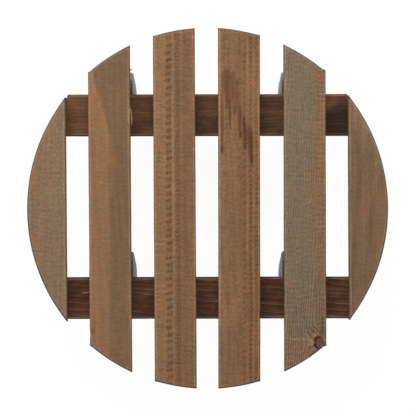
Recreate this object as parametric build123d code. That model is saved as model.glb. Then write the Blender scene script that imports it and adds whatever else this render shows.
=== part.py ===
from build123d import *
import math
import os

# A round slatted plant caddy on four twin-wheel swivel castors, in millimetres.
# The origin is on the floor, under the middle of the deck. +Z is up, the slats run
# along Y and the battens along X. At rest every castor trails towards +Y.

# Deck
deck_diameter = 300.0
slat_width = 35.0
slat_thickness = 15.0
slat_gap = 18.9
batten_width = 35.0
batten_thickness = 15.0
batten_tip_overhang = 0.45  # the battens' outer edges past the end slats' tips, on average
batten_shift = 1.5  # both battens sit this far behind the middle of the round cut
long_edge_radius = 1.5  # eased long edges of the planed stock
sawn_edge_chamfer = 0.5  # light arris along the round saw cut

# Screws that hold the slats, driven up through the battens
slat_screw_shank = 3.5
slat_screw_head = 7.0
slat_screw_cover = 4.0  # wood left above the screw's point
slat_screw_step_x = 6.0  # from the crossing's middle to each screw of the pair
slat_screw_step_y = 8.0
end_screw_inset = 6.0  # from an end slat's straight edge to its screw
end_screw_step_y = 8.0
screw_point_length = 4.0
screw_clearance = 0.05  # all round each screw in its hole
recess_length = 0.62  # of the screw head's diameter
recess_width = 0.8
recess_depth = 1.4

# Wheels and axle
wheel_diameter = 40.0
wheel_tread_width = 11.6
wheel_dome_height = 2.4
wheel_rim_thickness = 2.6
wheel_face_thickness = 2.0
wheel_shoulder = 3.0  # ring between the tread and the groove round the domed face
wheel_groove_width = 0.7
wheel_groove_depth = 0.6
wheel_outer_round = 2.6  # where the tread turns into the shoulder
wheel_inner_round = 1.0
wheel_hub_diameter = 10.0
wheel_rib_count = 6
wheel_rib_thickness = 1.2
wheel_side_gap = 0.5  # from the wheel to the middle web of the hood
axle_diameter = 5.0
axle_running_clearance = 0.05  # on the radius, wheel bore over axle
axle_end_gap = 0.4  # from the axle's end to the blind end of the bore
axle_chamfer = 0.5
hood_axle_clearance = 0.02  # on the radius, the axle pressed into the web

# Hood
castor_trail = 18.2  # from the swivel axis back to the axle
web_width = 12.0
hood_tread_gap = 1.0  # from the tread to the hood's inner face
hood_wall = 2.0
hood_side_inset = 0.5  # from the tread's outer edge in to the hood's side
hood_rear_angle = 58.0  # above the horizontal, behind the axle
hood_front_angle = 205.0  # past the top and down in front of the axle
hood_edge_round = 0.8
axle_boss_diameter = 12.0
neck_diameter = 13.0
neck_rise = 2.5  # the neck's top above the crest of the hood
neck_floor = 2.5  # under the kingpin's socket
saddle_width = 8.0  # rib from the neck's top back to the crest

# Kingpin, clip, washer and plate
kingpin_diameter = 7.0
kingpin_clearance = 0.1  # on the radius, in the socket
kingpin_reach = 21.5  # below its flange
kingpin_end_gap = 0.6
kingpin_chamfer = 0.8
flange_diameter = 14.0
flange_thickness = 1.5
rivet_diameter = 6.0
rivet_clearance = 0.02
clip_diameter = 8.8
clip_thickness = 1.2
clip_height = 4.0  # the groove's lower side above the kingpin's end
clip_gap_width = 2.5
groove_depth = 0.7
groove_clearance = 0.1
clip_pocket_clearance = 0.3
washer_diameter = 13.0
washer_thickness = 1.0
washer_bore_clearance = 0.3
plate_size = 34.0
plate_thickness = 2.0
plate_corner_radius = 4.0
plate_hole_spacing = 25.0
plate_hole_clearance = 0.3

# Screws that hold the castors
castor_screw_shank = 4.0
castor_screw_head = 7.4
castor_screw_head_height = 2.2
castor_screw_lip = 0.9  # straight edge of the head, against the plate
castor_screw_length = 14.0

# Sizes that follow from the ones above
deck_radius = deck_diameter / 2
slat_pitch = slat_width + slat_gap
end_slat_inner_x = 2 * slat_width + 2.5 * slat_gap
end_slat_tip_y = math.sqrt(deck_radius**2 - end_slat_inner_x**2)
batten_half_spacing = end_slat_tip_y + batten_tip_overhang - batten_width / 2
front_batten_y = batten_shift - batten_half_spacing
rear_batten_y = batten_shift + batten_half_spacing
castor_x = 1.5 * slat_pitch

wheel_radius = wheel_diameter / 2
axle_z = wheel_radius
axle_radius = axle_diameter / 2
hood_inner_radius = wheel_radius + hood_tread_gap
hood_outer_radius = hood_inner_radius + hood_wall
wheel_inner_x = web_width / 2 + wheel_side_gap
wheel_tread_x = wheel_inner_x + wheel_tread_width
hood_half_width = wheel_tread_x - hood_side_inset

neck_top_z = axle_z + hood_outer_radius + neck_rise
flange_bottom_z = neck_top_z + washer_thickness
plate_bottom_z = flange_bottom_z + flange_thickness
batten_bottom_z = plate_bottom_z + plate_thickness
slat_bottom_z = batten_bottom_z + batten_thickness
deck_top_z = slat_bottom_z + slat_thickness

kingpin_radius = kingpin_diameter / 2
kingpin_end_z = flange_bottom_z - kingpin_reach
groove_bottom_z = kingpin_end_z + clip_height
neck_bottom_z = kingpin_end_z - kingpin_end_gap - neck_floor
slat_screw_length = batten_thickness + slat_thickness - slat_screw_cover


def ring(outer_radius, inner_radius, bottom_z, height):
    """A flat ring about the Z axis."""
    middle = Pos(0, 0, bottom_z + height / 2)
    return middle * (Cylinder(outer_radius, height) - Cylinder(inner_radius, height))


def crown_middle(radius, height):
    """How far the middle of a round crown's profile is above its rim, and out from its axis."""
    sphere_radius = (radius**2 + height**2) / (2 * height)
    half_angle = math.asin(radius / sphere_radius) / 2
    rise = height - sphere_radius * (1 - math.cos(half_angle))
    return rise, sphere_radius * math.sin(half_angle)


def cross_recess(head_diameter):
    """A cross-shaped driver recess, open at its lower end at Z 0."""
    arm_length = recess_length * head_diameter
    arm = loft(
        [
            Rectangle(arm_length, recess_width),
            Pos(0, 0, recess_depth) * Rectangle(arm_length * 0.35, recess_width),
        ]
    )
    return arm + Rot(0, 0, 90) * arm


def slat_screw_body(clearance=0.0):
    """A countersunk screw that points up from the battens' underside, at Z 0."""
    head = slat_screw_head / 2 + clearance
    shank = slat_screw_shank / 2 + clearance
    length = slat_screw_length + clearance
    neck_z = slat_screw_head / 2 - slat_screw_shank / 2
    outline = Polyline(
        (0, 0),
        (head, 0),
        (shank, neck_z),
        (shank, length - screw_point_length),
        (0, length),
        close=True,
    )
    return revolve(Plane.XZ * make_face(outline), Axis.Z)


def slat_screw():
    return slat_screw_body() - cross_recess(slat_screw_head)


def castor_screw_shank_body(clearance=0.0):
    """The part of a castor screw that goes into the wood, from the plate's underside up."""
    shank = castor_screw_shank / 2 + clearance
    length = castor_screw_length + clearance
    outline = Polyline(
        (0, 0),
        (shank, 0),
        (shank, length - screw_point_length),
        (0, length),
        close=True,
    )
    return revolve(Plane.XZ * make_face(outline), Axis.Z)


def castor_screw():
    """A pan-head screw whose head bears on the plate's underside, at Z 0."""
    head = castor_screw_head / 2
    lip_z = -castor_screw_lip
    crown_z = -castor_screw_head_height
    rise, out = crown_middle(head, lip_z - crown_z)
    edge = Line((0, 0), (head, 0)) + Line((head, 0), (head, lip_z))
    crown = ThreePointArc((head, lip_z), (out, lip_z - rise), (0, crown_z))
    outline = edge + crown + Line((0, crown_z), (0, 0))
    body = revolve(Plane.XZ * make_face(outline), Axis.Z) + castor_screw_shank_body()
    return body - Pos(0, 0, crown_z) * cross_recess(castor_screw_head)


def full_slat_centres():
    return [(index - 1.5) * slat_pitch for index in range(4)]


def slat_screw_points():
    """Two screws in a diagonal pair at each full crossing, one at each end slat's."""
    points = []
    for batten_y in (front_batten_y, rear_batten_y):
        for number, x in enumerate(full_slat_centres()):
            lean = 1 if number % 2 == 0 else -1
            for end in (-1, 1):
                step_x = end * lean * slat_screw_step_x
                points.append((x + step_x, batten_y + end * slat_screw_step_y))
        inward = -math.copysign(end_screw_step_y, batten_y)
        for side_x in (-1, 1):
            points.append((side_x * (end_slat_inner_x + end_screw_inset), batten_y + inward))
    return points


def castor_places():
    """Each castor's name and the point on the floor under its swivel axis."""
    return {
        "front_left": (-castor_x, front_batten_y),
        "front_right": (castor_x, front_batten_y),
        "rear_left": (-castor_x, rear_batten_y),
        "rear_right": (castor_x, rear_batten_y),
    }


def castor_screw_points():
    half = plate_hole_spacing / 2
    corners = [(x, y) for x in (-half, half) for y in (-half, half)]
    return [(cx + x, cy + y) for cx, cy in castor_places().values() for x, y in corners]


def screw_holes():
    """Everything that is drilled from below into the battens and slats."""
    slat_hole = slat_screw_body(screw_clearance)
    castor_hole = castor_screw_shank_body(screw_clearance)
    holes = [Pos(x, y, batten_bottom_z) * slat_hole for x, y in slat_screw_points()]
    holes += [Pos(x, y, plate_bottom_z) * castor_hole for x, y in castor_screw_points()]
    return holes


def drill(wood, holes):
    """Cuts the holes whose axes pass through this piece of wood."""
    box = wood.bounding_box()
    near = [
        hole
        for hole in holes
        if box.min.X < hole.center().X < box.max.X
        and box.min.Y < hole.center().Y < box.max.Y
        and hole.bounding_box().max.Z > box.min.Z
    ]
    for hole in near:
        wood = wood - hole
    return wood


def stock(length, width, thickness):
    """A planed length of timber along X, with its four long edges eased."""
    bar = Box(length, width, thickness)
    return fillet(bar.edges().filter_by(Axis.X), long_edge_radius)


def sawn_disc(thickness):
    """The round that the saw leaves of the deck, with its cut edges lightly eased."""
    disc = Cylinder(deck_radius, thickness)
    rims = disc.edges().filter_by(GeomType.CIRCLE)
    return chamfer(rims, sawn_edge_chamfer)


def slat(centre_x):
    bar = Rot(0, 0, 90) * stock(deck_diameter + slat_width, slat_width, slat_thickness)
    cut = (Pos(centre_x, 0, 0) * bar) & sawn_disc(slat_thickness)
    return Pos(0, 0, slat_bottom_z + slat_thickness / 2) * cut


def batten(centre_y):
    bar = stock(deck_diameter + batten_width, batten_width, batten_thickness)
    cut = (Pos(0, centre_y, 0) * bar) & sawn_disc(batten_thickness)
    return Pos(0, 0, batten_bottom_z + batten_thickness / 2) * cut


def axle_point():
    """Moves a shape from the origin to the axle, with X kept as the wheels' axis."""
    return Pos(0, castor_trail, axle_z)


def wheel(side):
    """A moulded wheel with a domed outer face, open on its inner side. side is 1 or -1."""
    bore = axle_radius + axle_running_clearance
    hub = wheel_hub_diameter / 2
    rim = wheel_radius - wheel_rim_thickness
    inner_x, tread_x = wheel_inner_x, wheel_tread_x
    wall_x = tread_x - wheel_face_thickness
    groove_radius = wheel_radius - wheel_shoulder
    groove_x = tread_x - wheel_groove_depth
    dome_radius = groove_radius - wheel_groove_width
    crown_x = tread_x + wheel_dome_height
    rise, out = crown_middle(dome_radius, wheel_dome_height)
    walls = Polyline(
        (bore_end_x(), 0),
        (bore_end_x(), bore),
        (inner_x, bore),
        (inner_x, hub),
        (wall_x, hub),
        (wall_x, rim),
        (inner_x, rim),
        (inner_x, wheel_radius),
        (tread_x, wheel_radius),
        (tread_x, groove_radius),
        (groove_x, groove_radius),
        (groove_x, dome_radius),
        (tread_x, dome_radius),
    )
    dome = ThreePointArc((tread_x, dome_radius), (tread_x + rise, out), (crown_x, 0))
    outline = walls + dome + Line((crown_x, 0), (bore_end_x(), 0))
    body = revolve(make_face(outline), Axis.X)
    for end, rounding in ((-1, wheel_outer_round), (0, wheel_inner_round)):
        rims = body.edges().filter_by(
            lambda edge: edge.geom_type == GeomType.CIRCLE
            and abs(edge.radius - wheel_radius) < wheel_inner_round / 2
        )
        body = fillet(rims.sort_by(Axis.X)[end], rounding)
    reach = rim - hub
    depth = wall_x - inner_x - wheel_side_gap
    spoke = Box(depth, wheel_rib_thickness, reach + wheel_rib_thickness)
    spoke_middle = Pos(wall_x - depth / 2, 0, hub + reach / 2)
    for number in range(wheel_rib_count):
        body = body + Rot(number * 360 / wheel_rib_count, 0, 0) * spoke_middle * spoke
    if side < 0:
        body = mirror(body, Plane.YZ)
    return axle_point() * body


def bore_end_x():
    """Where the blind bore of a wheel ends, inside its domed face."""
    return wheel_tread_x


def axle():
    length = 2 * (bore_end_x() - axle_end_gap)
    rod = Rot(0, 90, 0) * Cylinder(axle_radius, length)
    rod = chamfer(rod.edges().filter_by(GeomType.CIRCLE), axle_chamfer)
    return axle_point() * rod


def sector(radius):
    """A pie slice of the hood's arc, drawn about the axle, in the plane of Y and Z."""
    start, end = math.radians(hood_rear_angle), math.radians(hood_front_angle)
    middle = (start + end) / 2
    tips = [(radius * math.cos(a), radius * math.sin(a)) for a in (start, middle, end)]
    arc = ThreePointArc(*tips)
    return make_face(Line((0, 0), tips[0]) + arc + Line(tips[2], (0, 0)))


def across(sketch, width):
    """A sketch of the plane of Y and Z, given a width along X about the middle."""
    return axle_point() * extrude(Plane.YZ * sketch, width / 2, both=True)


def hood():
    """The moulded body: arched cover, middle web with the axle boss, and upright neck."""
    cover = across(sector(hood_outer_radius), 2 * hood_half_width)
    sides = cover.edges().filter_by(
        lambda edge: edge.geom_type == GeomType.CIRCLE
        and abs(edge.radius - hood_outer_radius) < hood_wall / 2
    )
    cover = fillet(sides, hood_edge_round)
    boss = across(Circle(axle_boss_diameter / 2), web_width)
    neck_height = neck_top_z - neck_bottom_z
    neck = Pos(0, 0, neck_bottom_z + neck_height / 2) * Cylinder(
        neck_diameter / 2, neck_height
    )
    crest_z = axle_z + hood_outer_radius
    saddle_side = Polyline(
        (0, axle_z),
        (0, neck_top_z),
        (neck_diameter / 2, neck_top_z),
        (castor_trail, crest_z - hood_wall / 4),
        (castor_trail, axle_z),
        close=True,
    )
    saddle = extrude(Plane.YZ * make_face(saddle_side), saddle_width / 2, both=True)
    body = cover + boss + neck + saddle
    well_width = 2 * hood_half_width
    for side in (-1, 1):
        well = Rot(0, 90, 0) * Cylinder(hood_inner_radius, well_width)
        well_x = side * (web_width / 2 + well_width / 2)
        body = body - Pos(well_x, 0, 0) * axle_point() * well
    axle_hole = Rot(0, 90, 0) * Cylinder(axle_radius + hood_axle_clearance, web_width * 2)
    return body - axle_point() * axle_hole - kingpin_socket()


def kingpin_socket():
    """The blind socket in the neck, with the wider pocket that the clip turns in."""
    bore = kingpin_radius + kingpin_clearance
    floor_z = kingpin_end_z - kingpin_end_gap
    height = neck_top_z - floor_z
    socket = Pos(0, 0, floor_z + height / 2) * Cylinder(bore, height)
    pocket_radius = clip_diameter / 2 + clip_pocket_clearance
    pocket_height = clip_thickness + 2 * clip_pocket_clearance
    pocket_middle = groove_bottom_z + groove_clearance + clip_thickness / 2
    return socket + Pos(0, 0, pocket_middle) * Cylinder(pocket_radius, pocket_height)


def kingpin():
    """The pin on which a castor swivels: rivet neck, flange, shank and clip groove."""
    groove_radius = kingpin_radius - groove_depth
    groove_top_z = groove_bottom_z + clip_thickness + 2 * groove_clearance
    rivet = rivet_diameter / 2
    outline = Polyline(
        (0, kingpin_end_z),
        (kingpin_radius - kingpin_chamfer, kingpin_end_z),
        (kingpin_radius, kingpin_end_z + kingpin_chamfer),
        (kingpin_radius, groove_bottom_z),
        (groove_radius, groove_bottom_z),
        (groove_radius, groove_top_z),
        (kingpin_radius, groove_top_z),
        (kingpin_radius, flange_bottom_z),
        (flange_diameter / 2, flange_bottom_z),
        (flange_diameter / 2, plate_bottom_z),
        (rivet, plate_bottom_z),
        (rivet, batten_bottom_z),
        (0, batten_bottom_z),
        close=True,
    )
    return revolve(Plane.XZ * make_face(outline), Axis.Z)


def retaining_clip():
    """An open spring ring in the kingpin's groove, which keeps the hood on."""
    inner_radius = kingpin_radius - groove_depth + groove_clearance
    bottom_z = groove_bottom_z + groove_clearance
    whole = ring(clip_diameter / 2, inner_radius, bottom_z, clip_thickness)
    gap = Box(clip_gap_width, clip_diameter, 2 * clip_thickness)
    return whole - Pos(0, clip_diameter / 2, bottom_z) * gap


def swivel_washer():
    bore = kingpin_radius + washer_bore_clearance
    return ring(washer_diameter / 2, bore, neck_top_z, washer_thickness)


def mounting_plate():
    """A square steel plate with a rivet hole in the middle and a screw hole at each corner."""
    outline = RectangleRounded(plate_size, plate_size, plate_corner_radius)
    hole = Circle(castor_screw_shank / 2 + plate_hole_clearance)
    holes = GridLocations(plate_hole_spacing, plate_hole_spacing, 2, 2) * hole
    face = outline - holes - Circle(rivet_diameter / 2 + rivet_clearance)
    return Pos(0, 0, plate_bottom_z) * extrude(face, plate_thickness)


def save(shape, name):
    export_step(shape, os.path.join("parts", name + ".step"))


def save_deck():
    holes = screw_holes()
    end_centre_x = end_slat_inner_x + slat_width / 2
    save(drill(slat(-end_centre_x), holes), "left_end_slat")
    for number, centre_x in enumerate(full_slat_centres(), start=1):
        save(drill(slat(centre_x), holes), f"slat_{number}")
    save(drill(slat(end_centre_x), holes), "right_end_slat")
    save(drill(batten(front_batten_y), holes), "front_batten")
    save(drill(batten(rear_batten_y), holes), "rear_batten")
    one_slat_screw = slat_screw()
    one_castor_screw = castor_screw()
    slat_screws = [Pos(x, y, batten_bottom_z) * one_slat_screw for x, y in slat_screw_points()]
    castor_screws = [
        Pos(x, y, plate_bottom_z) * one_castor_screw for x, y in castor_screw_points()
    ]
    save(Compound(children=slat_screws), "slat_screws")
    save(Compound(children=castor_screws), "castor_screws")


def save_castors():
    pieces = {
        "plate": mounting_plate(),
        "kingpin": kingpin(),
        "clip": retaining_clip(),
        "washer": swivel_washer(),
        "hood": hood(),
        "axle": axle(),
    }
    right_wheel, left_wheel = wheel(1), wheel(-1)
    for castor, (x, y) in castor_places().items():
        place = Pos(x, y, 0)
        for piece, shape in pieces.items():
            save(place * shape, f"{castor}_{piece}")
        inner, outer = (right_wheel, left_wheel) if x < 0 else (left_wheel, right_wheel)
        save(place * inner, f"{castor}_inner_wheel")
        save(place * outer, f"{castor}_outer_wheel")


os.makedirs("parts", exist_ok=True)
save_deck()
save_castors()
for label, value in (
    ("deck top", deck_top_z),
    ("front batten centre line", front_batten_y),
    ("rear batten centre line", rear_batten_y),
    ("castor centre line", castor_x),
):
    print(label, round(value, 2))
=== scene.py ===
import math
from dataclasses import dataclass

import bmesh
import bpy
from mathutils import Matrix, Vector, noise


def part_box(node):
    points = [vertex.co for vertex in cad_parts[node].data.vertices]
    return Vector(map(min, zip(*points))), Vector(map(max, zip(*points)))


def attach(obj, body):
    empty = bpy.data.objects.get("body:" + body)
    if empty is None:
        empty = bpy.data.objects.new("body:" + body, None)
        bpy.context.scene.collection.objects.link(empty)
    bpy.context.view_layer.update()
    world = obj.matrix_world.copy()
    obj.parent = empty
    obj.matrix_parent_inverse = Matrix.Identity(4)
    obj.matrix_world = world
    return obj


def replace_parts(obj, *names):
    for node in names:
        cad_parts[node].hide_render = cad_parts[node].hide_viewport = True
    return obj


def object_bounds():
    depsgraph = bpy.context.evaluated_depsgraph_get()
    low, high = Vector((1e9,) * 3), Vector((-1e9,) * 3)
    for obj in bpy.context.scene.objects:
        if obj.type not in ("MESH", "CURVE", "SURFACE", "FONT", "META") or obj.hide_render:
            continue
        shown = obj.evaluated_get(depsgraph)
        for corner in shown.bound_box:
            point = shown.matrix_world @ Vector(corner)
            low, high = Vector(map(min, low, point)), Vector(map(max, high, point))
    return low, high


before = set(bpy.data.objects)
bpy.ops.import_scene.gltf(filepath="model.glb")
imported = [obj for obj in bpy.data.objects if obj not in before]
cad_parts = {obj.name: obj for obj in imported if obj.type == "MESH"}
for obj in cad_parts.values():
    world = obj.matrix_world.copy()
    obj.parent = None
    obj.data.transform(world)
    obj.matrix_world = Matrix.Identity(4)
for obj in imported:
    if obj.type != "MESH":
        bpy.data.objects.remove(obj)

cad_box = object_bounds()

# Shapes are worked out in millimetres and written to the meshes in metres.
MM = 0.001
DECK_RADIUS = cad_box[1][0] / MM
FULL_SLATS = 4  # between the two end slats
CASTORS = ["front_left", "front_right", "rear_left", "rear_right"]


def node_box(name):
    """A CAD node's lowest and highest corners, in millimetres."""
    low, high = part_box(name)
    return [c / MM for c in low], [c / MM for c in high]


# How each timber looks. Across and along are millimetres from its own middle: on a slat
# across is +X and along is +Y, on a batten across is +Y and along is +X.


@dataclass
class Timber:
    left: tuple  # screen colours on the two sides of a border that runs lengthwise
    right: tuple
    border: tuple = (0, 9, 6)  # the border's middle, softness and wander
    swerve: tuple = (0, 1, 0)  # between two places along, the border leans off by so much
    seam: float = 0  # how strongly a pale line shows along the swerving border
    pith: tuple = (40, -50, 0.02)  # the log's heart: across, up, and its drift along
    ring: float = 3.2  # spacing of the growth rings
    grain: float = 0.05  # how much darker their late wood is
    threads: float = 0  # pale threads along the rings
    ripple: float = 0.02  # the planer's cross ripple
    weave: float = 0.4  # rough fibres standing up
    streak: float = 0.35  # streaks along the grain
    turn: float = 0  # degrees that it was laid out of square
    shift: float = 0  # how far it was laid to one side
    knot: tuple = ()  # across, along, radius
    mark: tuple = (80, 53, 36)  # screen colour of dents and stains, and of the painted shade on the battens


TIMBERS = {
    "left_end_slat": Timber(
        (131, 105, 78), (128, 106, 83), pith=(60, -50, 0.02), ripple=0.05, weave=1.2,
        turn=0.36, shift=-0.2,
    ),
    "slat_1": Timber(
        (139, 103, 72), (117, 91, 66), border=(-0.3, 2.2, 3), swerve=(56, 116, -14), seam=0.22,
        pith=(-46, -70, 0.03), ring=3.4, grain=0.06, ripple=0.035, weave=0.75, turn=0.30,
        shift=-0.3,
    ),
    "slat_2": Timber(
        (137, 101, 70), (122, 90, 63), pith=(30, -60, 0.01), ring=3.0, ripple=0.065, weave=1.35,
        turn=0.21, shift=-0.3,
    ),
    "slat_3": Timber(
        (127, 95, 66), (128, 92, 62), pith=(-50, -64, 0.02), ring=3.0, ripple=0.05, weave=1.3,
        streak=0.8, turn=-0.06, shift=-0.7, mark=(84, 49, 27),
    ),
    "slat_4": Timber(
        (125, 107, 87), (127, 105, 82), border=(6, 9, 6), pith=(90, -26, 0.05), ring=1.85,
        grain=0.24, ripple=0.055, weave=1.2, turn=0.05, shift=0.1, knot=(12.2, -111.8, 4.2),
    ),
    "right_end_slat": Timber(
        (116, 92, 68), (119, 95, 71), pith=(20, -44, 0.05), ring=5.0, grain=0.1, ripple=0.03,
        weave=0.9, streak=0.5, turn=0.16,
    ),
    "front_batten": Timber(
        (84, 52, 35), (82, 51, 34), pith=(-40, -30, 0.05), ring=3.3, grain=0.32, threads=0.65,
        ripple=0.0, weave=0.9, streak=0.9, mark=(44, 28, 21),
    ),
    "rear_batten": Timber(
        (81, 54, 37), (87, 59, 41), border=(4, 8, 6), pith=(70, -30, 0.03), ring=2.6, grain=0.2,
        threads=0.25, ripple=0.02, weave=1.1, streak=0.7, mark=(38, 27, 21),
    ),
}
SEEDS = {name: 11.0 + 17.3 * i for i, name in enumerate(TIMBERS)}

# rows pressed by the planer's feed roller:
# across, pitch, first tooth, half width, half length, strength
ROLLER_ROWS = {
    "slat_2": [
        (-4.7, 5.86, 0.34, 2.6, 1.8, 0.72),
        (2.7, 2.93, 0.2, 2.0, 1.2, 0.5),
        (9.2, 3.91, 1.0, 1.0, 1.0, 0.2),
    ],
    "slat_3": [
        (0.9, 3.91, 1.1, 0.9, 1.0, 0.3),
        (4.4, 5.86, 4.26, 1.3, 1.5, 0.5),
        (9.7, 3.91, 0.2, 1.4, 1.2, 0.65),
        (14.5, 3.91, 0.4, 1.3, 1.2, 0.5),
    ],
    "slat_4": [(11.6, 3.91, 2.0, 1.0, 1.0, 0.35), (14.6, 3.91, 2.0, 1.2, 1.1, 0.5)],
}
# bands along a whole slat: across, half width, strength
DARK_BANDS = {
    "slat_2": [(-4.7, 2.6, 0.16), (2.7, 2.2, 0.14), (9.0, 2.0, 0.05)],
    "slat_3": [(4.4, 1.4, 0.14), (9.7, 1.5, 0.2), (14.6, 1.6, 0.16), (-9.5, 2.5, 0.05)],
    "slat_4": [(16.2, 1.2, 0.1)],
    "right_end_slat": [(-8.0, 2.6, 0.14), (2.0, 2.4, 0.14), (-13.5, 1.2, 0.08)],
}
PALE_BANDS = {
    "slat_2": [(-1.2, 0.9, 0.2), (5.9, 1.0, 0.14), (-8.6, 1.0, 0.1)],
    "slat_3": [(7.0, 0.9, 0.16), (12.0, 0.9, 0.18), (-16.3, 1.0, 0.3), (-12.6, 0.7, 0.12)],
    "slat_1": [(-16.6, 0.8, 0.12), (16.8, 0.6, 0.15)],
    "left_end_slat": [(3.0, 0.7, 0.15), (9.0, 0.8, 0.15), (-15.5, 1.0, 0.2)],
    "right_end_slat": [(-4.0, 1.6, 0.12), (6.5, 1.4, 0.12)],
}
# soft spots: across, along, half width, half length, strength
DARK_SPOTS_AND_SHADE = {
    "slat_3": [
        (-10.2, 105, 5.6, 12, 0.62),
        (-14.1, 72, 1.5, 27, 0.8),
        (-14.0, 49, 1.5, 5, 1.0),
        (-9.4, 92, 2.2, 12, 0.6),
        (-7.6, 80, 1.4, 15, 0.8),
        (-5.8, 98, 2.8, 12, 0.55),
        (-2.6, 92, 3.6, 14, 0.5),
        (-1.6, 104, 2.2, 4, 0.5),
        (-3.6, 82, 1.5, 8, 0.65),
        (0.6, 74, 2.0, 15, 0.8),
        (1.2, 61, 1.6, 4.2, 1.0),
        (4.2, 68, 1.6, 10, 0.7),
        (5.4, 60, 1.9, 11, 0.9),
        (5.2, 52, 1.5, 4, 1.0),
        (8.0, 60, 1.5, 10, 0.75),
        (10.0, 52, 1.8, 16, 0.8),
        (10.4, 40, 1.5, 4, 1.0),
        (-5.2, 109, 2.8, 5, 0.6),
    ],
    "slat_4": [
        (15.6, -116, 3.0, 6, 0.5),
        (6.6, -101, 0.8, 4, 0.6),
        (9.6, -100, 0.8, 4, 0.7),
        (12.2, -103, 0.9, 3.4, 0.7),
        (14.4, -98, 2.2, 10, 0.4),
    ],
    "right_end_slat": [(12.8, -30, 1.6, 2.4, 0.6), (4, -22, 4, 40, 0.12)],
    "slat_1": [(-14.5, -101, 1.8, 3.0, 0.5), (8.0, 112, 8, 9, 0.08)],
    # painted shadow: the first spot darkens the rear batten's right end, where the right end slat
    # shades it; the other two darken its inner side, towards the deck's middle
    "rear_batten": [(-6, 112, 17, 15, 0.85), (-9, 40, 12, 30, 0.15), (-17, -10, 5, 30, 0.25)],
    # painted shade: the front batten darker towards its right end
    "front_batten": [(0, 112, 26, 16, 0.15)],
}
WARM_SPOTS_AND_LIGHT = {
    "left_end_slat": [(-12, 25, 4.5, 22, 0.5), (-2, 66, 5, 9, 0.5), (-9, -30, 6, 18, 0.25)],
    "slat_1": [(-11, 90, 6, 12, 0.5), (-8, 38, 5, 26, 0.3), (-11, -90, 5, 22, 0.3)],
    "slat_2": [(-13, 120, 4, 24, 0.3), (14, 40, 4, 120, 0.25), (12, -90, 5, 60, 0.3)],
    "slat_3": [(13, 60, 5, 90, 0.25), (10, -110, 8, 26, 0.3), (-14, 20, 3, 120, 0.15)],
    # painted light: the first spot brightens the rear batten's left end and the second a band along
    # its outer edge near the right end; the third warms a patch left of its middle
    "rear_batten": [(0, -112, 26, 26, 0.5), (12, 100, 8, 11, 0.7), (2, -70, 22, 16, 0.2)],
    "slat_4": [
        (13.2, 55, 3.4, 125, 0.9),
        (13.4, -50, 3.0, 60, 0.5),
        (-6, -122, 12, 16, 0.7),
        (5.5, -112, 2.6, 8, 0.6),
    ],
    "right_end_slat": [(11.5, -37, 4.5, 13, 0.6), (8, 62, 5, 10, 0.4)],
}
PALE_SPOTS = {
    "slat_1": [(-7.4, 22.5, 1.6, 1.2, 0.7), (16.6, 77, 1.3, 7, 0.7)],
    "slat_2": [(-1.4, 24, 0.9, 74, 0.3)],
    "slat_3": [(11, 100, 7, 40, 0.12)],
    "right_end_slat": [(0, 92, 16, 50, 0.25)],
    "slat_4": [
        (-5.5, -108.6, 9.5, 1.2, 0.6),
        (3.0, -108.8, 5.0, 0.8, 0.3),
        (5.2, -112, 1.4, 7, 0.45),
    ],
}
# bites out of an upper edge: side, along, half length, depth
CHIPS = {
    "slat_1": [(-1, -104, 2.4, 0.8), (1, -33, 3.0, 0.3)],
    "slat_2": [(1, -60, 4.0, 0.4)],
    "slat_3": [(-1, 12, 5.0, 0.35), (1, -88, 3.0, 0.4)],
    "slat_4": [(-1, -40, 4.0, 0.3), (1, 96, 2.5, 0.5)],
    "front_batten": [(1, 20, 3.0, 0.4)],
    "rear_batten": [(-1, -60, 3.0, 0.4)],
}
# slivers torn out of an edge: root and tip (each across, along, up), width, sideways bow
SLIVERS = {
    "slat_1": [
        ((16.9, 86, 6.2), (18.7, 69.0, 5.0), 1.6, 0.7),
        ((-17.0, -69.0, 6.0), (-23.6, -69.8, 5.4), 0.7, -0.5),
        ((17.2, 117, 6.0), (18.9, 114.4, 5.2), 0.9, 0.4),
    ],
}

# Mesh lines and eased edges

LONG_ARRIS = 1.5  # radius of the planed long edges
SAWN_ARRIS = 1.0  # radius worn along the round saw cut
ARRIS_STEPS = (0.0, 0.2, 0.5, 1.0)
ACROSS_STEP = 0.8
ALONG_STEP = 1.15
UP_STEP = 1.6
CUT_END_ARRIS = 0.006  # mesh lines next to the round cut, as a share of the half length
TIP_ARRIS = 1.2  # mesh lines next to an end slat's tips
SAME_POINT = 0.002  # mesh points closer than this are joined


def line_places(low, high, low_arris, high_arris, step):
    """Where the mesh lines go from low to high, closer together over the eased edges."""
    first = [low + low_arris * part for part in ARRIS_STEPS]
    last = [high - high_arris * part for part in reversed(ARRIS_STEPS)]
    count = max(2, round((last[0] - first[-1]) / step))
    gap = (last[0] - first[-1]) / count
    return first + [first[-1] + gap * i for i in range(1, count)] + last


def gridded_block(places):
    """A box's skin with its mesh lines at the given places along its three axes."""
    block = bmesh.new()
    bmesh.ops.create_cube(block, size=2)
    for axis, marks in enumerate(places):
        crossing = [
            edge
            for edge in block.edges
            if abs(edge.verts[0].co[axis] - edge.verts[1].co[axis]) > 1
        ]
        bmesh.ops.subdivide_edges(block, edges=crossing, cuts=len(marks) - 2)
    for vert in block.verts:
        for axis, marks in enumerate(places):
            vert.co[axis] = marks[round((vert.co[axis] + 1) / 2 * (len(marks) - 1))]
    return block


def eased(first, second, radius):
    """Rounds a square corner: how far in from its two faces a point then lies."""
    if radius <= 0 or first >= radius or second >= radius:
        return first, second
    a, b = radius - first, radius - second
    shrink = radius / math.hypot(a, b)
    return radius - a * shrink, radius - b * shrink


def half_chord(offset):
    """Half the round cut's width at this distance from the deck's middle."""
    return math.sqrt(max(0.0, DECK_RADIUS**2 - offset**2))


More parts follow.
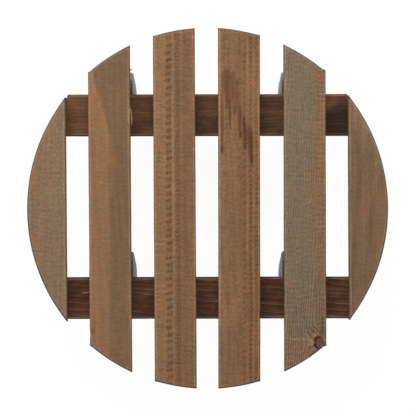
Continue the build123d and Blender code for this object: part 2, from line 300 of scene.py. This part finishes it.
def ease_sawn_rim(vert, half_thickness):
    """Rounds the edges of the round saw cut. Heights are from the timber's middle."""
    reach = math.hypot(vert.co.x, vert.co.y)
    depth = half_thickness - abs(vert.co.z)
    gap, new_depth = eased(max(0.0, DECK_RADIUS - reach), depth, SAWN_ARRIS)
    if reach > DECK_RADIUS - SAWN_ARRIS:
        vert.co.xy *= (DECK_RADIUS - gap) / reach
    vert.co.z = math.copysign(half_thickness - new_depth, vert.co.z)


def straight_timber(low, high, half_thickness):
    """A length between two straight sides, x from low to high, its ends cut to the round."""
    block = gridded_block(
        [
            line_places(low, high, LONG_ARRIS, LONG_ARRIS, ACROSS_STEP),
            line_places(-1, 1, CUT_END_ARRIS, CUT_END_ARRIS, ALONG_STEP / DECK_RADIUS),
            line_places(-half_thickness, half_thickness, LONG_ARRIS, LONG_ARRIS, UP_STEP),
        ]
    )
    middle, half_width = (low + high) / 2, (high - low) / 2
    for vert in block.verts:
        vert.co.y *= half_chord(vert.co.x)
        ease_sawn_rim(vert, half_thickness)
        side = math.copysign(1, vert.co.x - middle)
        gap = half_width - abs(vert.co.x - middle)
        gap, depth = eased(max(0.0, gap), half_thickness - abs(vert.co.z), LONG_ARRIS)
        vert.co.x = middle + side * (half_width - gap)
        vert.co.z = math.copysign(half_thickness - depth, vert.co.z)
    return block


def round_sided_timber(inner, side, half_thickness):
    """An end slat: one straight side at x = side * inner, the rest cut to the round."""
    tip = half_chord(inner)
    full = DECK_RADIUS - inner
    block = gridded_block(
        [
            line_places(0, full, LONG_ARRIS, SAWN_ARRIS, ACROSS_STEP),
            line_places(-tip, tip, TIP_ARRIS, TIP_ARRIS, ALONG_STEP),
            line_places(-half_thickness, half_thickness, LONG_ARRIS, LONG_ARRIS, UP_STEP),
        ]
    )
    for vert in block.verts:
        width = half_chord(vert.co.y) - inner
        gap = vert.co.x / full * width
        arris = min(LONG_ARRIS, width / 2)
        gap, depth = eased(gap, half_thickness - abs(vert.co.z), arris)
        vert.co.z = math.copysign(half_thickness - depth, vert.co.z)
        vert.co.x = side * (inner + gap)
        if width > 2 * SAWN_ARRIS:
            ease_sawn_rim(vert, half_thickness)
    return block


# Wear and marks

DENT_DEPTH = 0.35
SWELL = 0.12  # slow unevenness of the planed faces
RIDGE = 0.07  # raised grain
NIBBLE = 0.35  # wear along the edges
RUB = 0.55  # how pale the upper edges are rubbed
RUB_INSET = 1.4  # from the edge in to the middle of the rubbed line
WEAR_REACH = 3.0  # how far in from an edge wear and chips go
TOP_SKIN = 1.0  # how far down from the upper face marks and dents go
SCREW_ROOM_RADIUS = 3.2  # under each screw's head the batten's skin is sunk
SCREW_ROOM_DEPTH = 1.8
FACING_DOWN = -0.9


def spot(across, along, place):
    """How strongly a soft spot shows here, from 0 to its strength."""
    middle_across, middle_along, half_width, half_length, strength = place
    distance = math.hypot(
        (across - middle_across) / half_width, (along - middle_along) / half_length
    )
    return strength * (1 - distance**5) if distance < 1 else 0.0


def band(across, along, place, seed):
    """How strongly a lengthwise band shows here. It fades in and out along the timber."""
    middle, half_width, strength = place
    wander = 0.5 * noise.noise(Vector((along * 0.02, middle, seed)))
    distance = abs(across - middle - wander) / half_width
    if distance >= 1:
        return 0.0
    fade = 1 + 0.8 * noise.noise(Vector((along * 0.06, seed, middle)))
    return strength * (1 - distance**2) * fade


def roller_mark(across, along, rows, seed):
    """How deep a roller's tooth has pressed here, from 0 to 1."""
    deepest = 0.0
    for middle, pitch, first, half_width, half_length, strength in rows:
        if abs(across - middle) > 2 * half_width:
            continue
        number = round((along - first) / pitch)
        shift = Vector((number * 7.31, middle * 3.7, seed))
        slip_along = 0.12 * pitch * noise.noise(shift)
        slip_across = 0.5 * half_width * noise.noise(shift + Vector((0, 0, 31.7)))
        force = strength * (0.9 + 0.45 * noise.noise(shift + Vector((0, 57.1, 0))))
        off_across = (across - middle - slip_across) / half_width
        off_along = (along - first - number * pitch - slip_along) / half_length
        prong = 1.7 * (abs(off_across) - 0.5)
        distance = math.hypot(prong, off_along - 0.3 * off_across)
        deepest = max(deepest, force * max(0.0, 1 - distance**3))
    return min(1.0, deepest)


def shades(name, across, along, seed):
    """Dark, warm and pale shading of the upper face here; on the battens this takes in painted
    shade and painted light.
    """
    dark, warm, pale = (
        max([spot(across, along, place) for place in table.get(name, [])] or [0])
        for table in (DARK_SPOTS_AND_SHADE, WARM_SPOTS_AND_LIGHT, PALE_SPOTS)
    )
    dark += sum(band(across, along, place, seed) for place in DARK_BANDS.get(name, []))
    pale += sum(band(across, along, place, seed) for place in PALE_BANDS.get(name, []))
    return dark, warm, pale


def edge_wear(name, place, half_width, half_thickness, seed):
    """How far the edges are worn back here."""
    across, along, up = place
    edge_gap = half_width - abs(across)
    near_edge = max(0.0, 1 - max(edge_gap, half_thickness - abs(up)) / WEAR_REACH)
    bite = noise.noise(Vector((along * 0.11, seed, math.copysign(9, across) + up * 0.1)))
    fine_bite = noise.noise(Vector((along * 0.5, across * 0.3, up * 0.5 + seed)))
    wear = NIBBLE * near_edge * max(0.0, bite + 0.5 * fine_bite - 0.15)
    if up > 0 and edge_gap < WEAR_REACH:
        for side, middle, half_length, depth in CHIPS.get(name, []):
            if side * across > 0 and abs(along - middle) < half_length:
                end_fade = 1 - ((along - middle) / half_length) ** 2
                wear += depth * (1 - edge_gap / WEAR_REACH) * end_fade
    return wear


def weather(block, name, own_place, half_width, half_thickness, screws):
    """Presses, chips and wears the timber's skin, and keeps what shows there as colour marks, which
    on the battens also carry painted shade and painted light.
    """
    marks = block.verts.layers.float_color.new("marks")
    seed, rows = SEEDS[name], ROLLER_ROWS.get(name, [])
    block.normal_update()
    moves = []
    for vert in block.verts:
        across, along, up = own_place(vert.co)
        if up > half_thickness - TOP_SKIN:
            tooth = roller_mark(across, along, rows, seed)
            dark, warm, pale = shades(name, across, along, seed)
            inset = min(half_width - abs(across), DECK_RADIUS - math.hypot(vert.co.x, vert.co.y))
            patchy = 1 + noise.noise(Vector((along * 0.09, across, seed)))
            pale += RUB * patchy * max(0.0, 1 - abs(inset - RUB_INSET))
        else:
            tooth = dark = warm = pale = 0.0
        vert[marks] = (min(1.0, dark + tooth), warm, pale, 1.0)
        swell = SWELL * noise.noise(Vector((across * 0.07, along * 0.012, up * 0.1 + seed)))
        ridge = RIDGE * noise.noise(Vector((across * 0.8, along * 0.02, up * 0.8 + seed)))
        wear = edge_wear(name, (across, along, up), half_width, half_thickness, seed)
        moves.append(swell + ridge - (SWELL + RIDGE) / 2 - wear - DENT_DEPTH * tooth)
    for vert, move in zip(block.verts, moves):
        vert.co += vert.normal * move
        if vert.normal.z < FACING_DOWN:
            for x, y in screws:
                if math.hypot(vert.co.x - x, vert.co.y - y) < SCREW_ROOM_RADIUS:
                    vert.co.z += SCREW_ROOM_DEPTH
    return marks


def add_sliver(block, marks, root, tip, width, bow):
    """A torn sliver of wood that stands out from an edge and bends away sideways."""
    turn = (tip - root).to_track_quat("Z", "Y").to_matrix()
    shard = bmesh.ops.create_uvsphere(block, u_segments=8, v_segments=12, radius=1)["verts"]
    for vert in shard:
        part = (vert.co.z + 1) / 2
        own = Vector((vert.co.x * width / 2, vert.co.y * width / 3, part * (tip - root).length))
        vert.co = root + turn @ own
        vert.co.x += bow * math.sin(math.pi * part)
        vert[marks] = (0.0, 0.3, 0.4, 1.0)


def finished_object(block, name, material):
    """Writes the block to an object in metres, smooth-shaded, riding on the deck."""
    bmesh.ops.recalc_face_normals(block, faces=block.faces)
    for face in block.faces:
        face.smooth = True
    bmesh.ops.scale(block, vec=(MM, MM, MM), verts=block.verts)
    mesh = bpy.data.meshes.new(name)
    block.to_mesh(mesh)
    block.free()
    piece = bpy.data.objects.new(name, mesh)
    bpy.context.scene.collection.objects.link(piece)
    mesh.materials.append(material)
    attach(piece, "deck")
    return piece


# Materials


def linear(red, green, blue):
    """A colour given as it looks on screen, from 0 to 255, as the shader wants it."""
    return tuple(
        (c / 255 / 12.92 if c <= 10 else ((c / 255 + 0.055) / 1.055) ** 2.4)
        for c in (red, green, blue)
    ) + (1.0,)


class Recipe:
    """A material's nodes, put in one after another."""

    def __init__(self, name):
        self.material = bpy.data.materials.new(name)
        self.material.use_nodes = True
        self.tree = self.material.node_tree
        self.shader = self.tree.nodes["Principled BSDF"]

    def node(self, kind, sources, output=0, **settings):
        made = self.tree.nodes.new(kind)
        for key, value in settings.items():
            setattr(made, key, value)
        for socket, source in sources.items():
            self.feed(made.inputs[socket], source)
        return made.outputs[output]

    def feed(self, socket, source):
        if isinstance(source, bpy.types.NodeSocket):
            self.tree.links.new(source, socket)
        else:
            socket.default_value = source

    def math(self, operation, *values, clamp=False):
        sources = dict(enumerate(values))
        return self.node("ShaderNodeMath", sources, operation=operation, use_clamp=clamp)

    def vector(self, x, y, z):
        return self.node("ShaderNodeCombineXYZ", {0: x, 1: y, 2: z})

    def parts(self, vector):
        """A vector's three numbers."""
        made = self.tree.nodes.new("ShaderNodeSeparateXYZ")
        self.feed(made.inputs[0], vector)
        return made.outputs

    def place(self):
        """The object's own coordinates, in millimetres."""
        texture = self.tree.nodes.new("ShaderNodeTexCoord")
        return self.tone(texture.outputs["Object"], 1 / MM)

    def distance(self, a, b):
        squares = [self.math("POWER", value, 2.0) for value in (a, b)]
        return self.math("SQRT", self.math("ADD", *squares))

    def noise(self, places, cells, seed, detail=2.0, rough=0.55):
        """Noise whose cells have the given sizes, in millimetres, along the three places."""
        terms = [self.math("MULTIPLY_ADD", p, 1 / size, seed) for p, size in zip(places, cells)]
        shape = {"Scale": 1.0, "Detail": detail, "Roughness": rough}
        return self.node("ShaderNodeTexNoise", {"Vector": self.vector(*terms), **shape})

    def about(self, value, amount, centre=0.5):
        """Swings by amount for a value that goes from 0 to 1."""
        return self.math("MULTIPLY", self.math("SUBTRACT", value, centre), amount)

    def step(self, value, low, high, to_low=0.0, to_high=1.0):
        """Goes smoothly from one number to another as value goes from low to high."""
        sources = dict(zip(("Value", "From Min", "From Max"), (value, low, high)))
        sources |= {"To Min": to_low, "To Max": to_high}
        return self.node("ShaderNodeMapRange", sources, interpolation_type="SMOOTHSTEP")

    def mix(self, share, first, second):
        """Goes from the first colour to the second as share goes from 0 to 1."""
        return self.node("ShaderNodeMix", {0: share, 6: first, 7: second}, 2, data_type="RGBA")

    def tone(self, colour, amount):
        """A colour, or any vector, times a number."""
        return self.node("ShaderNodeVectorMath", {0: colour, "Scale": amount}, operation="SCALE")

    def marks(self):
        """The dark, warm and pale marks that the mesh carries, the battens' painted shade and
        painted light among them.
        """
        made = self.tree.nodes.new("ShaderNodeAttribute")
        made.attribute_name = "marks"
        split = self.tree.nodes.new("ShaderNodeSeparateColor")
        self.tree.links.new(made.outputs["Color"], split.inputs[0])
        return split.outputs[0], split.outputs[1], split.outputs[2]

    def bump(self, height, distance, strength=1.0):
        sources = {"Height": height, "Distance": distance, "Strength": strength}
        return self.node("ShaderNodeBump", sources)

    def finish(self, colour, roughness, normal, **sockets):
        """Feeds the shader. A further socket's spaces are underscores in its name here."""
        self.feed(self.shader.inputs["Base Color"], colour)
        self.feed(self.shader.inputs["Roughness"], roughness)
        self.feed(self.shader.inputs["Normal"], normal)
        for name, value in sockets.items():
            self.shader.inputs[name.replace("_", " ")].default_value = value
        return self.material


WARM_COLOUR = linear(152, 104, 66)
OLIVE_COLOUR = linear(112, 100, 76)
PALE_COLOUR = linear(178, 146, 112)
# the round cut's rim: darker end grain, with painted shade
CUT_RIM_AND_SHADE_COLOUR = linear(70, 64, 60)
ROLLER_PITCH = 3.91


class WoodRecipe(Recipe):
    """Stained softwood for one timber. Its places run from the timber's own middle."""

    def __init__(self, name, middle, level, along_y):
        super().__init__(name + "_wood")
        self.look, self.seed = TIMBERS[name], SEEDS[name]
        x, y, z = self.parts(self.place())
        across, self.along = (x, y) if along_y else (y, x)
        self.across = self.math("SUBTRACT", across, middle)
        self.up = self.math("SUBTRACT", z, level)
        self.reach = self.distance(x, y)

    def drawn(self, wide, long, number, **shape):
        """Noise drawn out along the grain: cells so many millimetres wide and long."""
        places = (self.across, self.along, self.up)
        return self.noise(places, (wide, long, wide), self.seed * 1.7 + number * 9.1, **shape)

    def ring_distance(self):
        """How far the growth rings here are from the log's heart."""
        side, above, drift = self.look.pith
        radius = self.distance(
            self.math("SUBTRACT", self.across, side), self.math("SUBTRACT", self.up, above)
        )
        radius = self.math("ADD", radius, self.about(self.drawn(20, 90, 1), 9.0))
        radius = self.math("ADD", radius, self.about(self.drawn(2, 17, 2), 1.1))
        return self.math("MULTIPLY_ADD", self.along, drift, radius)

    def knot_distance(self):
        """How far from the middle of the knot, which leans as it goes up."""
        off_across, off_along, _ = self.look.knot
        lean = self.math("MULTIPLY_ADD", self.up, 0.12, -off_across)
        along = self.math("MULTIPLY", self.math("SUBTRACT", self.along, off_along), 0.85)
        return self.distance(self.math("ADD", self.across, lean), along)

    def side_colour(self, fibre):
        """The two sides' colours, with a soft or a sharp border between them."""
        look = self.look
        edge = self.math("ADD", self.about(self.drawn(900, 80, 3), look.border[2]), look.border[0])
        swerve = self.step(self.along, look.swerve[0], look.swerve[1], 0.0, look.swerve[2])
        edge = self.math("ADD", edge, swerve)
        off = self.math("SUBTRACT", self.math("ADD", self.across, self.about(fibre, 4.0)), edge)
        side = self.step(off, -look.border[1], look.border[1])
        colour = self.mix(side, linear(*look.left), linear(*look.right))
        if look.seam:
            off = self.math("ABSOLUTE", self.math("ADD", off, 1.0))
            near = self.step(off, 0.2, 1.6, look.seam, 0.0)
            near = self.math("MULTIPLY", near, self.step(self.along, 30.0, 70.0))
            colour = self.mix(near, colour, PALE_COLOUR)
        return colour

    def knot_colour(self, colour, away, fuzz):
        """A dark crescent, a brown core and a pale halo on its left."""
        radius = self.look.knot[2]
        away = self.math("ADD", away, self.about(fuzz, 1.5))
        left = self.step(self.across, self.look.knot[0] - 0.6, self.look.knot[0] + 2.2, 1.0, 0.15)
        core = self.step(away, radius * 0.7, radius * 1.05, 0.8, 0.0)
        colour = self.mix(core, colour, linear(110, 70, 54))
        off_rim = self.math("ABSOLUTE", self.math("SUBTRACT", away, radius * 0.92))
        rim = self.math("MULTIPLY", self.step(off_rim, 0.4, 1.6, 1.0, 0.0), left)
        off_halo = self.math("ABSOLUTE", self.math("SUBTRACT", away, radius * 1.45))
        halo = self.math("MULTIPLY", self.step(off_halo, 0.3, 1.7, 0.35, 0.0), left)
        colour = self.mix(halo, colour, linear(166, 120, 86))
        return self.mix(rim, colour, linear(66, 34, 14))

    def marked(self, colour, fuzz):
        """The wood with its marks, broken up by the fuzz of its fibres. On the battens the dark and
        warm marks are partly painted shade and painted light.
        """
        dark, warm, pale = self.marks()
        broken = self.math("ADD", self.about(fuzz, 1.6), 1.0)
        # warm is partly painted light on the rear batten, and dark partly painted shade on both
        # battens
        colour = self.mix(self.math("MULTIPLY", warm, 0.55), colour, WARM_COLOUR)
        dark = self.math("MULTIPLY", self.math("MULTIPLY", dark, broken), 0.9, clamp=True)
        colour = self.mix(dark, colour, linear(*self.look.mark))
        return self.mix(self.math("MULTIPLY", pale, 0.6), colour, PALE_COLOUR)

    def cut_rim_and_shade(self, colour, fuzz):
        """Darkens the round cut's rim: end grain that takes the stain darker, and painted shade,
        stronger towards negative along, which on the slats is their front ends, whose edge faces
        away from the light.
        """
        reach = self.math("ADD", self.reach, self.about(fuzz, 1.2))
        share = self.step(reach, DECK_RADIUS - 1.7, DECK_RADIUS - 0.8)
        # painted shade: the rim darkens more towards negative along, the slats' front ends
        rim_and_shade_share = self.step(self.along, -30.0, 30.0, 0.9, 0.4)
        return self.mix(self.math("MULTIPLY", share, rim_and_shade_share), colour, CUT_RIM_AND_SHADE_COLOUR)

    def made(self):
        """Puts colour, grain, marks and surface together."""
        look = self.look
        rings = self.ring_distance()
        away, grain = None, -look.grain
        if look.knot:
            away = self.knot_distance()
            rings = self.math("ADD", rings, self.step(away, 0.0, look.knot[2] * 4.0, 7.0, 0.0))
            grain = self.step(away, 20.0, 70.0, -1.8 * look.grain, -look.grain)
        turns = self.math("FRACT", self.math("DIVIDE", rings, look.ring))
        late = self.math(
            "MULTIPLY", self.step(turns, 0.35, 0.9), self.step(turns, 0.92, 1.0, 1.0, 0.0)
        )

        fibre = self.drawn(2.2, 48, 4, detail=4.0, rough=0.6)
        hair = self.drawn(0.35, 10, 5, detail=2.0, rough=0.6)
        fuzz = self.drawn(1.5, 1.7, 6, detail=3.0, rough=0.75)
        cloud = self.drawn(10, 45, 7, detail=3.0)
        patch = self.drawn(6, 9, 8, detail=2.0)
        bars = self.noise((self.across, self.along, self.up), (9, 2.6, 9), self.seed + 60)
        waver = self.about(self.drawn(8, 25, 9, detail=1.0), 14.0)
        turn = self.math("MULTIPLY_ADD", self.along, 2 * math.pi / ROLLER_PITCH, waver)
        chatter = self.math(
            "MULTIPLY", self.math("SINE", turn), self.step(patch, 0.35, 0.6, 0.3, 1.3)
        )

        colour = self.side_colour(fibre)
        colour = self.mix(self.step(cloud, 0.45, 0.72, 0.0, 0.28), colour, WARM_COLOUR)
        colour = self.mix(self.step(patch, 0.50, 0.72, 0.0, 0.22), colour, OLIVE_COLOUR)
        if away:
            colour = self.knot_colour(colour, away, fuzz)
        colour = self.marked(colour, fuzz)
        if look.threads:
            thread = self.step(turns, 0.04, 0.12, look.threads, 0.0)
            thread = self.math("MULTIPLY", thread, self.step(cloud, 0.42, 0.55))
            colour = self.mix(thread, colour, linear(150, 110, 84))
        tone = self.math("ADD", self.about(fibre, look.streak), 1.0)
        for field, amount in ((hair, 0.35), (fuzz, look.weave), (bars, look.ripple * 8)):
            tone = self.math("ADD", tone, self.about(field, amount))
        tone = self.math("MULTIPLY_ADD", chatter, look.ripple, tone)
        tone = self.math("MULTIPLY_ADD", late, grain, tone)
        colour = self.cut_rim_and_shade(self.tone(colour, tone), fuzz)

        surface = self.math("MULTIPLY", fibre, 0.6)
        for field, amount in ((hair, 0.35), (fuzz, 0.6), (chatter, 0.06), (late, 0.25)):
            surface = self.math("MULTIPLY_ADD", field, amount, surface)
        rough = self.math("ADD", self.about(fuzz, 0.25), 0.8)
        normal = self.bump(surface, 0.3 * MM, 0.8)
        return self.finish(colour, rough, normal, Specular_IOR_Level=0.2)


# The slats and battens

SCREW_STEP_ACROSS = 6.0  # each crossing's pair of screws, from its middle
SCREW_STEP_ALONG = 8.0
END_SCREW_INSET = 6.0


def screw_places(batten_middle):
    """Where the screws that hold the slats go into one batten."""
    places = []
    for number in range(FULL_SLATS):
        low, high = node_box(f"slat_{number + 1}")
        lean = 1 if number % 2 == 0 else -1
        for end in (-1, 1):
            x = (low[0] + high[0]) / 2 + end * lean * SCREW_STEP_ACROSS
            places.append((x, batten_middle + end * SCREW_STEP_ALONG))
    inner = node_box("right_end_slat")[0][0] + END_SCREW_INSET
    inward = -math.copysign(SCREW_STEP_ALONG, batten_middle)
    return places + [(side * inner, batten_middle + inward) for side in (-1, 1)]


def make_timber(name):
    """Shapes, wears and dresses one slat or batten in its CAD node's place."""
    look = TIMBERS[name]
    along_y = "slat" in name
    low, high = node_box(name)
    level, half_thickness = (low[2] + high[2]) / 2, (high[2] - low[2]) / 2
    side = 0 if along_y else 1
    middle = (low[side] + high[side]) / 2 + look.shift
    half_width = (high[side] - low[side]) / 2
    if "end" in name:
        outward = math.copysign(1, middle)
        block = round_sided_timber(abs(middle) - half_width, outward, half_thickness)
    else:
        block = straight_timber(middle - half_width, middle + half_width, half_thickness)
    if not along_y:
        for vert in block.verts:
            vert.co.xy = vert.co.yx
    bmesh.ops.remove_doubles(block, verts=block.verts, dist=SAME_POINT)
    bmesh.ops.recalc_face_normals(block, faces=block.faces)

    def own_place(co):
        return (co.x - middle, co.y, co.z) if along_y else (co.y - middle, co.x, co.z)

    screws = [] if along_y else screw_places(middle)
    marks = weather(block, name, own_place, half_width, half_thickness, screws)
    for root, tip, width, bow in SLIVERS.get(name, []):
        off = Vector((middle, 0, 0))
        add_sliver(block, marks, Vector(root) + off, Vector(tip) + off, width, bow)
    laid = Matrix.Rotation(math.radians(look.turn), 3, "Z")
    bmesh.ops.rotate(block, cent=(0, 0, 0), matrix=laid, verts=block.verts)
    bmesh.ops.translate(block, vec=(0, 0, level), verts=block.verts)
    material = WoodRecipe(name, middle, level, along_y).made()
    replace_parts(finished_object(block, name + "_timber", material), name)


for timber in TIMBERS:
    make_timber(timber)


# Castors and screws

SCUFF_RADII = (18.9, 19.7)  # where a wheel's scuffed tread begins and is at its full


def steel(name, seed):
    """Bright zinc plating: faint crystals, handling marks and a little grime."""
    recipe = Recipe(name)
    places = recipe.parts(recipe.place())
    shifted = recipe.vector(places[0], places[1], recipe.math("ADD", places[2], seed))
    crystal = recipe.node("ShaderNodeTexVoronoi", {"Vector": shifted, "Scale": 0.45}, 1)
    crystal = recipe.node("ShaderNodeSeparateColor", {0: crystal})
    cloud = recipe.noise(places, (8, 8, 8), seed, detail=4.0, rough=0.6)
    scratch = recipe.noise(places, (4, 0.2, 0.2), seed + 5, detail=3.0, rough=0.7)
    grime = recipe.step(cloud, 0.45, 0.75, 0.0, 0.5)
    colour = recipe.mix(grime, linear(186, 188, 188), linear(140, 136, 126))
    colour = recipe.tone(colour, recipe.math("MULTIPLY_ADD", crystal, 0.10, 0.95))
    rough = recipe.math("MULTIPLY_ADD", crystal, 0.08, 0.22)
    rough = recipe.math("MULTIPLY_ADD", cloud, 0.25, rough)
    return recipe.finish(colour, rough, recipe.bump(scratch, 0.02 * MM, 0.5), Metallic=1.0)


def black_nylon(name, seed):
    """Moulded black nylon with a fine spark-eroded grain and dust on what faces up."""
    recipe = Recipe(name)
    places = recipe.parts(recipe.place())
    grain = recipe.noise(places, (0.25, 0.25, 0.25), seed, detail=3.0, rough=0.6)
    cloud = recipe.noise(places, (6, 6, 6), seed, detail=4.0, rough=0.65)
    geometry = recipe.tree.nodes.new("ShaderNodeNewGeometry")
    facing_up = recipe.step(recipe.parts(geometry.outputs["Normal"])[2], 0.2, 1.0)
    dust = recipe.math("MULTIPLY", facing_up, recipe.step(cloud, 0.4, 0.7, 0.02, 0.2))
    colour = recipe.mix(dust, linear(16, 16, 14), linear(80, 74, 62))
    colour = recipe.tone(colour, recipe.math("MULTIPLY_ADD", cloud, 0.5, 0.75))
    rough = recipe.math("MULTIPLY_ADD", cloud, 0.15, 0.38)
    rough = recipe.math("MULTIPLY_ADD", dust, 0.5, rough)
    return recipe.finish(colour, rough, recipe.bump(grain, 0.03 * MM, 0.6))


def grey_plastic(name, centre, seed):
    """A hard grey wheel: moulded face, scuffed and dusty tread."""
    recipe = Recipe(name)
    places = recipe.parts(recipe.place())
    reach = recipe.distance(
        recipe.math("SUBTRACT", places[1], centre[1]), recipe.math("SUBTRACT", places[2], centre[2])
    )
    grain = recipe.noise(places, (0.3, 0.3, 0.3), seed, detail=3.0, rough=0.6)
    cloud = recipe.noise(places, (7, 7, 7), seed, detail=4.0, rough=0.65)
    scuff = recipe.noise(places, (0.35, 2, 2), seed + 9, detail=4.0, rough=0.7)
    tread = recipe.step(reach, *SCUFF_RADII)
    dirt = recipe.math("MULTIPLY", tread, recipe.step(scuff, 0.38, 0.62, 0.1, 0.85))
    smear = recipe.step(cloud, 0.5, 0.75, 0.0, 0.25)
    colour = recipe.mix(smear, linear(120, 125, 127), linear(96, 95, 92))
    colour = recipe.mix(dirt, colour, linear(74, 66, 56))
    colour = recipe.tone(colour, recipe.math("MULTIPLY_ADD", grain, 0.12, 0.94))
    rough = recipe.math("MULTIPLY_ADD", cloud, 0.2, 0.36)
    rough = recipe.math("MULTIPLY_ADD", dirt, 0.3, rough)
    height = recipe.math("MULTIPLY_ADD", dirt, -0.6, grain)
    return recipe.finish(colour, rough, recipe.bump(height, 0.04 * MM, 0.6))


def dress(node_name, material):
    """Gives a CAD node its finish."""
    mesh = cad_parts[node_name].data
    mesh.materials.clear()
    mesh.materials.append(material)


screw_steel = steel("screw_zinc", 3.0)
dress("slat_screws", screw_steel)
dress("castor_screws", screw_steel)
for number, castor in enumerate(CASTORS):
    castor_steel = steel(castor + "_zinc", 20.0 + 13.0 * number)
    for part in ("plate", "kingpin", "clip", "washer", "axle"):
        dress(f"{castor}_{part}", castor_steel)
    dress(castor + "_hood", black_nylon(castor + "_nylon", 60.0 + 7.0 * number))
    for part in ("inner_wheel", "outer_wheel"):
        low, high = node_box(f"{castor}_{part}")
        centre = [(a + b) / 2 for a, b in zip(low, high)]
        seed = 90.0 + 11.0 * number + len(part)
        dress(f"{castor}_{part}", grey_plastic(f"{castor}_{part}_plastic", centre, seed))


# Floor, light and camera

FLOOR_HALF = 2.5
FLOOR_GLOW = 0.95  # how white the camera sees the floor
SKY_LIGHT = 0.58  # strength of the white studio's own light


def seen_directly(tree):
    """1 for rays from the camera, or by way of a mirror or glass, and 0 for other light."""
    path = tree.nodes.new("ShaderNodeLightPath")
    total = path.outputs["Is Camera Ray"]
    for name in ("Is Glossy Ray", "Is Transmission Ray"):
        both = tree.nodes.new("ShaderNodeMath")
        both.operation = "MAXIMUM"
        tree.links.new(total, both.inputs[0])
        tree.links.new(path.outputs[name], both.inputs[1])
        total = both.outputs[0]
    return total


def make_floor():
    """A plain floor, seen near white, on which the object's shadow still falls."""
    sheet = bmesh.new()
    bmesh.ops.create_grid(sheet, x_segments=1, y_segments=1, size=FLOOR_HALF)
    mesh = bpy.data.meshes.new("floor")
    sheet.to_mesh(mesh)
    sheet.free()
    floor = bpy.data.objects.new("floor", mesh)
    bpy.context.scene.collection.objects.link(floor)
    recipe = Recipe("floor_white")
    glow = recipe.node("ShaderNodeEmission", {"Color": (1, 1, 1, 1), "Strength": FLOOR_GLOW})
    matt = recipe.node("ShaderNodeBsdfDiffuse", {"Color": (0.08, 0.08, 0.08, 1)})
    plain = recipe.node("ShaderNodeBsdfDiffuse", {"Color": (0.8, 0.8, 0.8, 1)})
    both = recipe.node("ShaderNodeAddShader", {0: glow, 1: matt})
    choice = {0: seen_directly(recipe.tree), 1: plain, 2: both}
    chosen = recipe.node("ShaderNodeMixShader", choice)
    recipe.tree.links.new(chosen, recipe.tree.nodes["Material Output"].inputs["Surface"])
    mesh.materials.append(recipe.material)


def make_world():
    """An even white studio, seen as plain white behind the object."""
    world = bpy.data.worlds.new("studio")
    world.use_nodes = True
    bpy.context.scene.world = world
    tree = world.node_tree
    back = tree.nodes["Background"]
    back.inputs["Color"].default_value = (1, 1, 1, 1)
    strength = tree.nodes.new("ShaderNodeMapRange")
    strength.inputs["To Min"].default_value = SKY_LIGHT
    strength.inputs["To Max"].default_value = 1.0
    tree.links.new(seen_directly(tree), strength.inputs["Value"])
    tree.links.new(strength.outputs[0], back.inputs["Strength"])


def soft_box(name, place, aim, width, height, power):
    """A rectangular light at a place, facing aim."""
    data = bpy.data.lights.new(name, "AREA")
    data.shape = "RECTANGLE"
    data.size, data.size_y, data.energy = width, height, power
    lamp = bpy.data.objects.new(name, data)
    bpy.context.scene.collection.objects.link(lamp)
    lamp.location = place
    lamp.rotation_euler = (Vector(aim) - Vector(place)).to_track_quat("-Z", "Y").to_euler()


make_floor()
make_world()
soft_box("key_light", (-0.2, 0.8, 0.8), (0, 0, 0.07), 1.2, 0.5, 9.6)

CAMERA_HEIGHT = 1.95  # above the slats' tops
PIXEL = 0.8297 * MM  # one pixel's width at the slats' tops
PICTURE_PIXELS = 415
camera_data = bpy.data.cameras.new("camera")
camera = bpy.data.objects.new("camera", camera_data)
bpy.context.scene.collection.objects.link(camera)
bpy.context.scene.camera = camera
camera_data.sensor_fit = "HORIZONTAL"
camera_data.angle = 2 * math.atan(PICTURE_PIXELS * PIXEL / 2 / CAMERA_HEIGHT)
camera.location = (-0.05 * PIXEL, 0.77 * PIXEL, cad_box[1][2] + CAMERA_HEIGHT)
camera.rotation_euler = (0, 0, math.radians(-0.13))

bpy.context.scene.view_settings.view_transform = "Standard"
